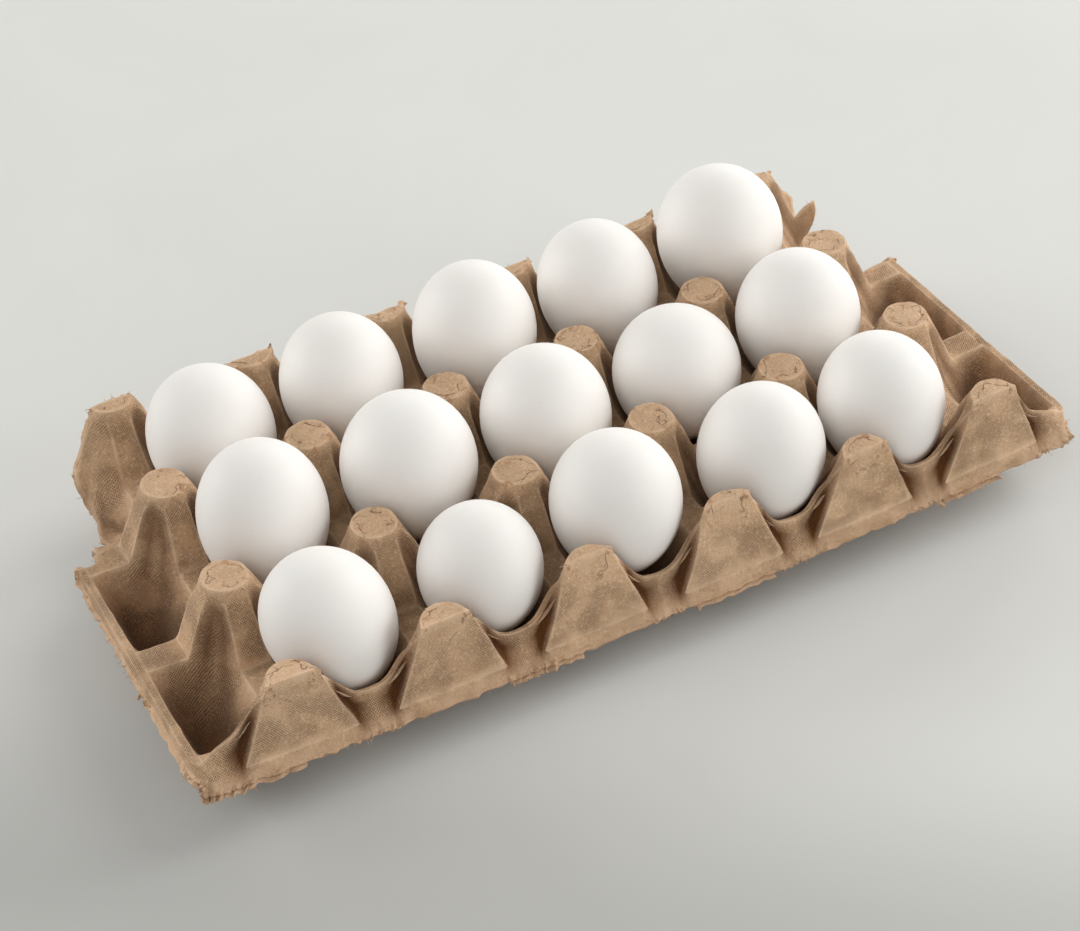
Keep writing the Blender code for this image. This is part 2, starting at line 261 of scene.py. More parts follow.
def finish_with(piece, kind, **settings):
    """Add a modifier and apply it."""
    take(piece)
    modifier = piece.modifiers.new(kind.lower(), kind)
    for key, value in settings.items():
        setattr(modifier, key, value)
    bpy.ops.object.modifier_apply(modifier=modifier.name)


def lumps(size, depth=2):
    """A soft noise texture for uneven surfaces."""
    texture = bpy.data.textures.new(f"lumps of {size * 1000:.1f} mm", "CLOUDS")
    texture.noise_scale = size
    texture.noise_depth = depth
    texture.noise_basis = "BLENDER_ORIGINAL"
    return texture


# ---------------------------------------------------------------- the tray's relief
def post_point(along, across):
    """Offset and level up to half a pitch from a post."""
    far, near, level = POST_PATTERN[(max(abs(along), abs(across)), min(abs(along), abs(across)))]
    x, y = (far, near) if abs(along) >= abs(across) else (near, far)
    return math.copysign(x, along), math.copysign(y, across), level


def pocket_point(along, across):
    """Offset and level in the outer part of an end pocket, or on its rim."""
    step = abs(along) - HALF
    level = POCKET_SIDE_LEVELS[abs(across)] if step == 0 else POCKET_LEVELS[step]
    return (math.copysign(POCKET_REACHES[step], along),
            math.copysign(POCKET_SIDES[abs(across)], across), level)


def front_point(along, row):
    """Offset and level on the sill, the half posts' outer sides, their foot or the skirt."""
    step = abs(along)
    if step <= HALF:
        x, out, level = FRONT_ROWS[-row][step]
        return math.copysign(x, along), -out, level
    beyond = step - HALF
    reach = POCKET_REACHES[beyond] if row == 0 else CORNER_REACHES[beyond - 1]
    level = min(CORNER_LEVELS[-row], POCKET_LEVELS[beyond])
    return math.copysign(reach, along), -CORNER_OUTS[-row], level


def round_corner(x, y):
    """Bring the rim's square corners round to an arc."""
    middle = COLUMNS / 2
    centre_x = middle + POCKET_REACHES[1] - CORNER_INSET
    over_x = abs(x - middle) - centre_x
    over_y = POST_PATTERN[(4, 1)][1] - y
    if over_x <= 0 or over_y <= 0:
        return x, y
    scale = max(over_x, over_y) / math.hypot(over_x, over_y)
    side = math.copysign(1.0, x - middle)
    return middle + side * (centre_x + over_x * scale), POST_PATTERN[(4, 1)][1] - over_y * scale


def bow_at(x):
    """Rise of the tray's curled ends."""
    past = max(0.0, abs(x - COLUMNS / 2) - BOW_FLAT)
    return BOW * (past / (COLUMNS / 2 - BOW_FLAT)) ** 2


def nearest_post(column, row):
    """Number of the post nearest to a lattice point, along the tray and across it."""
    return min(max(round(column / STEPS), 0), COLUMNS), min(max(round(row / STEPS), 0), ROWS)


def relief_point(column, row):
    """Place of one lattice point of the tray's upper face, in pitches from the first post."""
    if (column, row) in SCRAPS:
        return SCRAPS[(column, row)]
    post, line = nearest_post(column, row)
    along = column - post * STEPS
    across = row - line * STEPS
    if row < 0 or (row == 0 and abs(along) > 2):
        x, y, level = front_point(along, row)
    elif abs(along) > HALF or (abs(along) == HALF and column in (-HALF, LAST_POST + HALF)):
        x, y, level = pocket_point(along, across)
    else:
        x, y, level = post_point(along, across)
        if row == 0:
            y -= FACE_SET_BACK[post]
        if row == 1:
            level += FRONT_CREST[abs(along)]
    x, y = round_corner(post + x, line + y)
    if row == TEAR_ROW and column > LAST_POST + 3:
        y += RIDGE_TEARS[column - LAST_POST - 4]
    return x, min(y, ROWS - BACK_TEAR + TEAR_SLANT * along), level


def is_torn_off(column, row):
    """Whether the lattice face right of and behind this point went with the rest of the tray."""
    past_left = -column
    past_right = column + 1 - LAST_POST
    if row < TEAR_ROW or max(past_left, past_right) <= 4:
        return False
    left_scrap = past_left == 5 and row < TEAR_ROW + 2
    right_scrap = past_right == 5 and row == LAST_ROW - 2
    return not (left_scrap or right_scrap)


def is_on_board(column, row):
    """Whether a lattice point is part of the tray's net."""
    return FIRST_COLUMN <= column <= FINAL_COLUMN and -SKIRT_STEPS <= row <= LAST_ROW


def ring_lines(column, row):
    """The rim of a post's flat top, as two half rings, or one on a half post."""
    ways = (1, -1) if row > 0 else (1,)
    return [[(column + x, row + way * y) for x, y in HALF_RING] for way in ways]


def rib_lines(column):
    """The two ribs down a half post's outer face."""
    return [[(column + side, row) for row in (0, -1, -2)] for side in (-2, 2)]


def spine_lines(column, row):
    """Both edges of each spine down a post, and the fold where the spine meets the ridge."""
    runs = []
    for way in (-1, 1):
        for side in (-1, 1):
            if row > 0:
                runs.append([(column + way * n, row + side) for n in range(2, HALF + 1)])
            if row > 0 or way > 0:
                runs.append([(column + side, row + way * n) for n in range(2, HALF + 1)])
        if row > 0:
            runs.append([(column + way * 4, row + n) for n in (-1, 0, 1)])
        if row > 0 or way > 0:
            runs.append([(column + n, row + way * 4) for n in (-1, 0, 1)])
    return runs


def pocket_lines(way, end):
    """The folds round the empty pockets beyond one end's posts."""
    runs = [[(end + way * (HALF + beyond), row) for row in range(0, TEAR_ROW + 1)]
            for beyond in (1, 2)]
    runs.append([(end + way * (HALF + n), 0) for n in (0, 1, 2)])
    runs.append([(end + way * (HALF + n), 1) for n in (0, 1)])
    for row in range(STEPS, TEAR_ROW + 1, STEPS):
        runs += [[(end + way * n, row + side) for n in (HALF, HALF + 1)] for side in (-1, 1)]
    return runs


def crisp_lines():
    """Runs of lattice points along which the pulp is folded crisply."""
    runs = pocket_lines(-1, 0) + pocket_lines(1, LAST_POST)
    for column in POST_COLUMNS:
        for row in POST_ROWS:
            runs += ring_lines(column, row) + spine_lines(column, row)
        runs.append([(column + n, 0) for n in range(-HALF, HALF + 1)])
        runs.append([(column + n, -2) for n in range(-2, 3)])
        runs += rib_lines(column)
    return runs


def broad_lines():
    """Runs of lattice points whose folds are rounder: the post tops and the half posts' ribs."""
    runs = []
    for column in POST_COLUMNS:
        for row in POST_ROWS:
            runs += ring_lines(column, row)
        runs += rib_lines(column)
    return runs


def valley_lines():
    """Runs of lattice points along the bottoms of the valleys beside the spines."""
    runs = []
    for column in POST_COLUMNS:
        for row in POST_ROWS:
            for way in (-1, 1):
                for side in (-2, 2):
                    runs.append([(column + way * n, row + side) for n in (2, 3, 4)])
                    runs.append([(column + side, row + way * n) for n in (2, 3, 4)])
    return [run for run in runs if all(spot[1] > 0 for spot in run)]


def edges_along(lines):
    """Pairs of neighbouring lattice points along some lines."""
    pairs = set()
    for run in lines:
        for first, second in zip(run, run[1:]):
            if is_on_board(*first) and is_on_board(*second):
                pairs.add(tuple(sorted((first, second))))
    return pairs


def mark(piece, name, amounts):
    """Keep a number from 0 to 1 on the piece's points for its material to read."""
    layer = piece.data.attributes.new(name, "FLOAT", "POINT")
    for number, amount in amounts.items():
        layer.data[number].value = amount


def lay_out_net():
    """A grid with one point for each point of the lattice, and where each of them is."""
    lay_down_tools()
    across = FINAL_COLUMN - FIRST_COLUMN
    deep = LAST_ROW + SKIRT_STEPS
    bpy.ops.mesh.primitive_grid_add(x_subdivisions=across, y_subdivisions=deep, size=PITCH / STEPS)
    tray = named("pulp_tray")
    bpy.ops.object.mode_set(mode="EDIT")
    bpy.ops.transform.resize(value=(across, deep, 1.0))
    bpy.ops.transform.translate(value=(0.0, -SKIRT_STEPS / 2 * PITCH / STEPS, HEIGHT))
    bpy.ops.object.mode_set(mode="OBJECT")
    spots = {}
    for vertex in tray.data.vertices:
        column = round(vertex.co.x * STEPS / PITCH + LAST_POST / 2)
        row = round(vertex.co.y * STEPS / PITCH + LAST_ROW / 2)
        spots[(column, row)] = vertex.index
    return tray, spots


def shape_net(tray, spots):
    """Pull the net to the mould's relief, then curl its ends up."""
    relief = {}
    curl = {}
    for spot, number in spots.items():
        x, y, level = relief_point(*spot)
        place = Vector(((x - COLUMNS / 2) * PITCH, (y - ROWS / 2) * PITCH, HEIGHT + level * PITCH))
        relief[number] = place - tray.data.vertices[number].co
        curl[number] = Vector((0.0, 0.0, bow_at(x) * PITCH))
    pull(tray, relief)
    pull(tray, curl)


def mark_places(tray, spots):
    """Numbers for the material: post tops, the torn skirt, and painted shade by how deep in a cup a
    point is.
    """
    tops = {}
    torn = {}
    deep = {}
    rim = {}
    for (column, row), number in spots.items():
        post, line = nearest_post(column, row)
        along = abs(column - post * STEPS)
        across = abs(row - line * STEPS)
        away = max(along, across)
        on_rim = row == -SKIRT_STEPS
        tops[number] = 1.0 if away < 2 and row >= 0 else 0.0
        torn[number] = 1.0 if on_rim else 0.0
        rim[number] = min(away, 1)
        # How much painted shade a point gets: set in the hollows and on the skirt, elsewhere by how
        # far below the ridge it lies and in the valleys
        if row < 1 or column < -HALF - 1 or column > LAST_POST + HALF + 1:
            deep[number] = SKIRT_SHADE if on_rim else FRONT_PIT_SHADES.get((row, along), 0.0)
        else:
            level = relief_point(column, row)[2]
            sunk = (RIDGE_LEVEL - level) / (RIDGE_LEVEL - FLOOR_LEVEL)
            valley = VALLEY_SHADES.get((away, min(along, across)), 0.0)
            deep[number] = max(0.0 if (column, row) in SCRAPS else valley, sunk)
    mark(tray, "top", tops)
    mark(tray, "torn", torn)
    mark(tray, "deep", deep)
    mark(tray, "rim", rim)


def mark_edges(tray):
    """Numbers for the material: 1 along the crisp folds, lightened as wear and painted highlight,
    and along the torn rim.
    """
    weights = tray.data.attributes["bevel_weight_edge"].data
    folds = {number: 1.0 for edge in tray.data.edges if weights[edge.index].value > 0.3
             for number in edge.vertices}
    mark(tray, "fold_wear_and_highlight", folds)
    faces_at = {}
    for face in tray.data.polygons:
        for key in face.edge_keys:
            faces_at[key] = faces_at.get(key, 0) + 1
    torn = tray.data.attributes["torn"].data
    for key, count in faces_at.items():
        if count == 1:
            for number in key:
                torn[number].value = 1.0


def tear_off(tray, spots):
    """Take away what went with the rest of the tray."""
    gone = []
    address = {number: spot for spot, number in spots.items()}
    for face in tray.data.polygons:
        corner = min(address[number] for number in face.vertices)
        if is_torn_off(*corner):
            gone.append(face.index)
    take(tray)
    bpy.ops.object.mode_set(mode="EDIT")
    grab(tray, "FACE", gone)
    bpy.ops.mesh.delete(type="FACE")
    bpy.ops.object.mode_set(mode="OBJECT")


def sharpen_folds(tray, spots):
    """Crease the crisp folds, and weigh them, so that they get narrow bevels."""
    take(tray)
    bpy.ops.object.mode_set(mode="EDIT")
    for lines, crease, bevel in ((crisp_lines(), 1.0, FOLD_SHARE),
                                 (broad_lines(), 0.0, 1.0 - FOLD_SHARE),
                                 (valley_lines(), VALLEY_CREASE, 0.0)):
        wanted = {frozenset(spots[spot] for spot in pair) for pair in edges_along(lines)}
        bpy.ops.object.mode_set(mode="OBJECT")
        folds = [edge.index for edge in tray.data.edges if frozenset(edge.vertices) in wanted]
        bpy.ops.object.mode_set(mode="EDIT")
        grab(tray, "EDGE", folds)
        bpy.ops.transform.edge_crease(value=crease)
        bpy.ops.transform.edge_bevelweight(value=bevel)
    corners = [spots[(column + side, -2)] for column in POST_COLUMNS for side in (-2, 2)]
    grab(tray, "VERT", corners)
    bpy.ops.transform.vert_crease(value=1.0)
    bpy.ops.object.mode_set(mode="OBJECT")


def shred_skirt(tray):
    """Rough up the strip along the torn rim, where the pulp has come apart."""
    band = tray.vertex_groups.new(name="band")
    for point, torn in zip(tray.data.vertices, tray.data.attributes["torn"].data):
        if torn.value > 0.05 and point.co.y < -HALF_DEPTH + SHRED_DEPTH:
            band.add([point.index], torn.value, "REPLACE")
    for size, depth in SHREDS:
        finish_with(tray, "DISPLACE", texture=lumps(size, 4), strength=depth, mid_level=0.6,
                    vertex_group="band")


def draw_out(reach, sag, roughness, seed, wall):
    """Draw the selected rim outwards and down into one more ragged row."""
    bpy.ops.mesh.extrude_region_move(TRANSFORM_OT_translate={"value": (0.0, 0.0, -sag)})
    bpy.ops.transform.resize(value=(1.0 + reach / HALF_LENGTH, 1.0 + reach / HALF_DEPTH, 1.0),
                             center_override=(0.0, 0.0, HEIGHT))
    bpy.ops.transform.vertex_random(offset=roughness, seed=seed)
    assign_wall(wall)


def fray(tray):
    """Draw the torn rim out into a ragged fringe, thinner row by row."""
    tray.vertex_groups.new(name="wall")
    take(tray)
    bpy.ops.object.mode_set(mode="EDIT")
    bpy.ops.mesh.select_all(action="SELECT")
    assign_wall(1.0)
    for seed, (reach, sag, wall) in enumerate(FRINGE):
        grab_where(tray, "EDGE", lambda edge: edge.is_boundary)
        draw_out(reach, sag, FRINGE_ROUGHNESS, seed, wall)
    for seed, (reach, sag) in enumerate(LIPS, LIP_SEED):
        grab_where(tray, "EDGE", lambda edge: edge.is_boundary and is_split(edge.verts[0].co))
        draw_out(reach, sag, LIP_ROUGHNESS, seed, LIP_WALL)
    bpy.ops.object.mode_set(mode="OBJECT")


def is_split(place):
    """Whether the torn rim has come apart into two layers here."""
    return place.y < SPLIT_LINE and any(low < place.x < high for low, high in SPLITS)


def assign_wall(weight):
    """Give the selected points their share of the wall's thickness."""
    bpy.context.scene.tool_settings.vertex_group_weight = weight
    bpy.ops.object.vertex_group_assign()


def build_tray():
    """The pulp tray: a net pulled to the relief of the mould, torn, ribbed and thickened."""
    tray, spots = lay_out_net()
    shape_net(tray, spots)
    mark_places(tray, spots)
    sharpen_folds(tray, spots)
    tear_off(tray, spots)
    finish_with(tray, "SUBSURF", levels=2, render_levels=2)
    for size, depth in SWELLS:
        finish_with(tray, "DISPLACE", texture=lumps(size), strength=depth, mid_level=0.5)
    mark_edges(tray)
    shred_skirt(tray)
    finish_with(tray, "BEVEL", width=FOLD_WIDTH, segments=2, limit_method="WEIGHT")
    fray(tray)
    finish_with(tray, "SOLIDIFY", thickness=WALL, offset=-1.0, vertex_group="wall")
    take(tray)
    bpy.ops.object.mode_set(mode="EDIT")
    grab_where(tray, "VERT", lambda point: point.co.z < cad_box[0][2])
    bpy.ops.transform.resize(value=(1.0, 1.0, 0.0), center_override=cad_box[0])
    bpy.ops.object.mode_set(mode="OBJECT")
    bpy.ops.object.shade_smooth_by_angle(angle=math.radians(SMOOTH_ANGLE))
    finish_with(tray, "WEIGHTED_NORMAL", mode="FACE_AREA", weight=50, keep_sharp=True)
    return tray


# ---------------------------------------------------------------- loose fibres
def build_fibre():
    """One loose fibre: a thin tapered strand drawn out in a few crooked steps."""
    lay_down_tools()
    bpy.ops.mesh.primitive_circle_add(vertices=FIBRE_SIDES, radius=FIBRE_GIRTH, fill_type="NGON")
    fibre = named("fibre")
    bpy.ops.object.mode_set(mode="EDIT")
    bpy.ops.mesh.select_all(action="SELECT")
    for step, (length, turn) in enumerate(FIBRE_STEPS):
        tip = (0.0, 0.0, (step + 1) * length)
        bpy.ops.mesh.extrude_region_move(TRANSFORM_OT_translate={"value": (0.0, 0.0, length)})
        bpy.ops.transform.rotate(value=math.radians(turn), orient_axis="XY"[step % 2],
                                 center_override=(0.0, 0.0, 0.0))
        bpy.ops.transform.resize(value=(FIBRE_TAPER, FIBRE_TAPER, 1.0), center_override=tip)
    bpy.ops.mesh.select_all(action="SELECT")
    bpy.ops.mesh.normals_make_consistent(inside=False)
    bpy.ops.object.mode_set(mode="OBJECT")
    return fibre


def build_fibres(tray):
    """Loose fibres standing out of the torn rim, and a few on the post tops' edges."""
    random.seed(FIBRE_SEED)
    fibre = build_fibre()
    data = tray.data
    torn, top, fold_wear_and_highlight = (data.attributes[name].data for name in ("torn", "top", "fold_wear_and_highlight"))
    rims = [n for n in range(len(data.vertices)) if torn[n].value > 0.9]
    edges = [n for n in range(len(data.vertices)) if fold_wear_and_highlight[n].value > 0.9 and top[n].value > 0.5]
    strands = []
    for spots, count, lift in zip((rims, edges), FIBRE_COUNTS, FIBRE_LIFTS):
        for number in random.sample(spots, count):
            point = data.vertices[number]
            away = Vector((point.co.x / HALF_LENGTH, point.co.y / HALF_DEPTH, lift)).normalized()
            away += point.normal + Vector([random.uniform(-FIBRE_SPREAD, FIBRE_SPREAD)
                                           for _ in range(3)])
            turn = away.to_track_quat("Z", "Y").to_matrix().to_4x4()
            spin = Matrix.Rotation(random.uniform(0.0, math.tau), 4, "Z")
            size = Matrix.Scale(random.uniform(*FIBRE_SIZES), 4)
            strand = fibre.copy()
            strand.data = fibre.data.copy()
            strand.data.transform(Matrix.Translation(point.co) @ turn @ spin @ size)
            bpy.context.scene.collection.objects.link(strand)
            strands.append(strand)
    take(fibre)
    bpy.ops.object.delete()
    for strand in strands:
        strand.select_set(True)
    bpy.context.view_layer.objects.active = strands[0]
    bpy.ops.object.join()
    fibres = named("torn_fibres")
    mark(fibres, "torn", {n: 1.0 for n in range(len(fibres.data.vertices))})
    bpy.ops.object.shade_smooth()
    return fibres


# ---------------------------------------------------------------- eggs
def build_egg(name, girth, length, lean_back, lean_right):
    """One egg: a sphere drawn out, fuller at its upper end, leaned and set in its place."""
    lay_down_tools()
    low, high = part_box(name)
    bpy.ops.mesh.primitive_uv_sphere_add(segments=EGG_MERIDIANS, ring_count=EGG_RINGS, radius=0.5)
    egg = named(f"shell_{name}")
    bpy.ops.object.mode_set(mode="EDIT")
    bpy.ops.mesh.select_all(action="DESELECT")
    net = bmesh.from_edit_mesh(egg.data)
    levels = sorted({round(vertex.co.z, 5) for vertex in net.verts})
    for level in levels[1:-1]:
        net = bmesh.from_edit_mesh(egg.data)
        for vertex in net.verts:
            vertex.select_set(abs(vertex.co.z - level) < 0.0001)
        fuller = 1.0 + EGG_BLUNTNESS * 2.0 * level
        bpy.ops.transform.resize(value=(fuller, fuller, 1.0), center_override=(0.0, 0.0, level))
    bpy.ops.mesh.select_all(action="SELECT")
    bpy.ops.transform.resize(value=(girth, girth, length), center_override=(0.0, 0.0, 0.0))
    bpy.ops.object.mode_set(mode="OBJECT")
    lean = Matrix.Rotation(math.radians(lean_right), 4, "Y") @ Matrix.Rotation(
        math.radians(-lean_back), 4, "X")
    egg.data.transform(lean)
    corners = [vertex.co for vertex in egg.data.vertices]
    centre = Vector([(min(c[i] for c in corners) + max(c[i] for c in corners)) / 2
                     for i in range(3)])
    egg.data.transform(Matrix.Translation((low + high) / 2 - centre))
    take(egg)
    bpy.ops.object.shade_smooth()
    return egg


# ---------------------------------------------------------------- materials
PULP_LIGHT = (0.690, 0.460, 0.283, 1.0)
PULP_DARK = (0.550, 0.348, 0.200, 1.0)
PULP_GREY = (0.580, 0.414, 0.273, 1.0)
PULP_STAIN = (0.330, 0.205, 0.110, 1.0)
# Dark pulp for the fine grain, and for painted shade in the mesh print's dents
PULP_DEEP = (0.200, 0.110, 0.048, 1.0)
PULP_FLECK = (0.930, 0.720, 0.510, 1.0)
# Lighter pulp for wear on torn rims, tops and folds; on the folds also painted highlight
PULP_RUBBED_AND_HIGHLIT = (0.740, 0.520, 0.340, 1.0)
PULP_RUST = (0.360, 0.150, 0.055, 1.0)
PULP_CRACK = (0.190, 0.085, 0.036, 1.0)
PULP_SHADE = (0.24, 0.135, 0.055, 1.0)
SHELL_WHITE = (0.890, 0.865, 0.825, 1.0)
SHELL_CREAM = (0.875, 0.835, 0.785, 1.0)
SHELL_SPECK = (0.760, 0.700, 0.640, 1.0)
# Floor colours: pale far, darker near for painted shade towards the front, and faint clouds; then
# where and which way the shade fades
FLOOR_FAR = (0.715, 0.715, 0.680, 1.0)
FLOOR_NEAR_SHADED = (0.470, 0.470, 0.445, 1.0)
FLOOR_CLOUD = (0.560, 0.555, 0.520, 1.0)
FLOOR_FADE = (-0.175, -0.075)
FLOOR_FADE_WAY = (0.62, 0.78, 0.0)
MESH_PRINT_WAYS = (((0.0, 0.80, 0.60), (0.0, -0.66, 0.75)), ((0.80, 0.0, 0.60), (-0.66, 0.0, 0.75)),
                   ((0.80, 0.60, 0.0), (-0.66, 0.75, 0.0)))
FIBRE_WAYS = (((0.3, 0.2, 0.5), (0.28, 1.0, 1.0)), ((0.9, 0.4, 2.1), (1.0, 0.30, 1.0)),
              ((0.1, 1.2, 0.9), (1.0, 1.0, 0.26)))


class Nodes:
    """A small helper that places shader nodes and joins them."""

    def __init__(self, tree):
        self.tree = tree
        self.count = 0

    def add(self, kind, inputs=None, **settings):
        """A node with its settings and inputs; an input may be a value or another node's output."""
        node = self.tree.nodes.new(kind)
        node.location = (200 * (self.count % 8), -260 * (self.count // 8))
        self.count += 1
        for key, value in settings.items():
            setattr(node, key, value)
        for key, value in (inputs or {}).items():
            if isinstance(value, bpy.types.NodeSocket):
                self.tree.links.new(value, node.inputs[key])
            else:
                node.inputs[key].default_value = value
        return node


def new_material(name):
    """An empty material with its node helper, its shader and its output joined."""
    material = bpy.data.materials.new(name)
    material.use_nodes = True
    tree = material.node_tree
    shader = tree.nodes["Principled BSDF"]
    return material, Nodes(tree), shader


def new_group(name, inputs, outputs):
    """A shader node group with named inputs, each with its usual value, and named outputs."""
    tree = bpy.data.node_groups.new(name, "ShaderNodeTree")
    kinds = {"value": "NodeSocketFloat", "vector": "NodeSocketVector", "colour": "NodeSocketColor"}
    for label, kind, value in inputs:
        socket = tree.interface.new_socket(label, in_out="INPUT", socket_type=kinds[kind])
        if value is not None:
            socket.default_value = value
    for label, kind in outputs:
        tree.interface.new_socket(label, in_out="OUTPUT", socket_type=kinds[kind])
    nodes = Nodes(tree)
    entry = nodes.add("NodeGroupInput").outputs
    leave = nodes.add("NodeGroupOutput").inputs
    return tree, nodes, entry, leave


def maths(nodes, kind, *values):
    """The result of a sum on numbers or on nodes' outputs."""
    return nodes.add("ShaderNodeMath", dict(enumerate(values)), operation=kind).outputs["Value"]


def ramp(nodes, value, low, high, out_low=0.0, out_high=1.0):
    """A number brought from one range to another, smoothly and within it."""
    inputs = {"Value": value, "From Min": low, "From Max": high, "To Min": out_low,
              "To Max": out_high}
    return nodes.add("ShaderNodeMapRange", inputs,
                     interpolation_type="SMOOTHSTEP").outputs["Result"]


def noise(nodes, place, scale, detail=3.0, roughness=0.5, distortion=0.0):
    """Plain noise from 0 to 1."""
    inputs = {"Vector": place, "Scale": scale, "Detail": detail, "Roughness": roughness,
              "Distortion": distortion}
    return nodes.add("ShaderNodeTexNoise", inputs).outputs["Fac"]


def blend(nodes, amount, first, second, kind="MIX"):
    """Two colours blended by an amount."""
    node = nodes.add("ShaderNodeMix", {"Factor": amount}, data_type="RGBA", blend_type=kind)
    for socket, colour in zip((node.inputs[6], node.inputs[7]), (first, second)):
        if isinstance(colour, bpy.types.NodeSocket):
            nodes.tree.links.new(colour, socket)
        else:
            socket.default_value = colour
    return node.outputs[2]


def mesh_print_group():
    """The print of the mould's wire mesh: dents in crossing rows, laid along each way it faces."""
    tree, nodes, entry, leave = new_group(
        "mesh print", (("Place", "vector", None), ("Pitch", "value", 0.00060),
                       ("Wander", "value", 0.0005)), (("Height", "value"),))
    drift = nodes.add("ShaderNodeTexNoise", {"Vector": entry["Place"], "Scale": 380.0,
                                             "Detail": 2.0})
    centred = nodes.add("ShaderNodeVectorMath", {0: drift.outputs["Color"], 1: (0.5, 0.5, 0.5)},
                        operation="SUBTRACT")
    scaled = nodes.add("ShaderNodeVectorMath", {0: centred.outputs["Vector"],
                                                "Scale": entry["Wander"]}, operation="SCALE")
    moved = nodes.add("ShaderNodeVectorMath", {0: entry["Place"], 1: scaled.outputs["Vector"]},
                      operation="ADD")
    turns = maths(nodes, "DIVIDE", 2.0 * math.pi, entry["Pitch"])
    facing = nodes.add("ShaderNodeSeparateXYZ", {
        "Vector": nodes.add("ShaderNodeNewGeometry").outputs["True Normal"]})
    shares = [maths(nodes, "POWER", maths(nodes, "ABSOLUTE", facing.outputs[axis]), 6.0)
              for axis in "XYZ"]
    whole = maths(nodes, "ADD", maths(nodes, "ADD", shares[0], shares[1]), shares[2])
    dents = 0.0
    for share, ways in zip(shares, MESH_PRINT_WAYS):
        rows = []
        for way in ways:
            along = nodes.add("ShaderNodeVectorMath", {0: moved.outputs["Vector"], 1: way},
                              operation="DOT_PRODUCT").outputs["Value"]
            wave = maths(nodes, "SINE", maths(nodes, "MULTIPLY", along, turns))
            rows.append(maths(nodes, "MULTIPLY_ADD", wave, -0.5, 0.5))
        dent = maths(nodes, "POWER", maths(nodes, "MULTIPLY", rows[0], rows[1]), 0.7)
        dents = maths(nodes, "MULTIPLY_ADD", dent, share, dents)
    height = maths(nodes, "SUBTRACT", 1.0, maths(nodes, "DIVIDE", dents, whole))
    nodes.tree.links.new(height, leave["Height"])
    return tree


def fibre_group():
    """Matted fibres: long soft noise lying three ways, and fine flecks."""
    tree, nodes, entry, leave = new_group(
        "matted fibres", (("Place", "vector", None), ("Fineness", "value", 1.0)),
        (("Height", "value"), ("Flecks", "value")))
    layers = []
    for turn, stretch in FIBRE_WAYS:
        laid = nodes.add("ShaderNodeMapping", {"Vector": entry["Place"], "Rotation": turn,
                                               "Scale": stretch})
        scale = maths(nodes, "MULTIPLY", entry["Fineness"], 520.0)
        layers.append(noise(nodes, laid.outputs["Vector"], scale, 3.0, 0.6, 0.6))
    height = maths(nodes, "MAXIMUM", maths(nodes, "MAXIMUM", layers[0], layers[1]), layers[2])
    nodes.tree.links.new(height, leave["Height"])
    grain = noise(nodes, entry["Place"], maths(nodes, "MULTIPLY", entry["Fineness"], 1500.0), 2.0)
    nodes.tree.links.new(ramp(nodes, grain, 0.60, 0.72), leave["Flecks"])
    return tree


def crack_group():
    """Fine cracks, wandering and broken off here and there."""
    tree, nodes, entry, leave = new_group(
        "cracks", (("Place", "vector", None), ("Size", "value", 0.0045),
                   ("Width", "value", 0.020)), (("Cracks", "value"),))
    wander = nodes.add("ShaderNodeTexNoise", {"Vector": entry["Place"], "Scale": 260.0,
                                              "Detail": 3.0})
    moved = nodes.add("ShaderNodeVectorMath", {0: wander.outputs["Color"], 1: entry["Place"],
                                               "Scale": 0.004}, operation="SCALE")
    bent = nodes.add("ShaderNodeVectorMath", {0: entry["Place"], 1: moved.outputs["Vector"]},
                     operation="ADD")
    cells = nodes.add("ShaderNodeTexVoronoi", {"Vector": bent.outputs["Vector"],
                                               "Scale": maths(nodes, "DIVIDE", 1.0,
                                                              entry["Size"])},
                      feature="DISTANCE_TO_EDGE")
    line = ramp(nodes, cells.outputs["Distance"], maths(nodes, "MULTIPLY", entry["Width"], 0.3),
                entry["Width"], 1.0, 0.0)
    gaps = ramp(nodes, noise(nodes, entry["Place"], 190.0, 2.0), 0.60, 0.66)
    nodes.tree.links.new(maths(nodes, "MULTIPLY", line, gaps), leave["Cracks"])
    return tree


def attribute(nodes, name):
    """One of the numbers that were marked on the piece's points."""
    return nodes.add("ShaderNodeAttribute", attribute_name=name).outputs["Fac"]


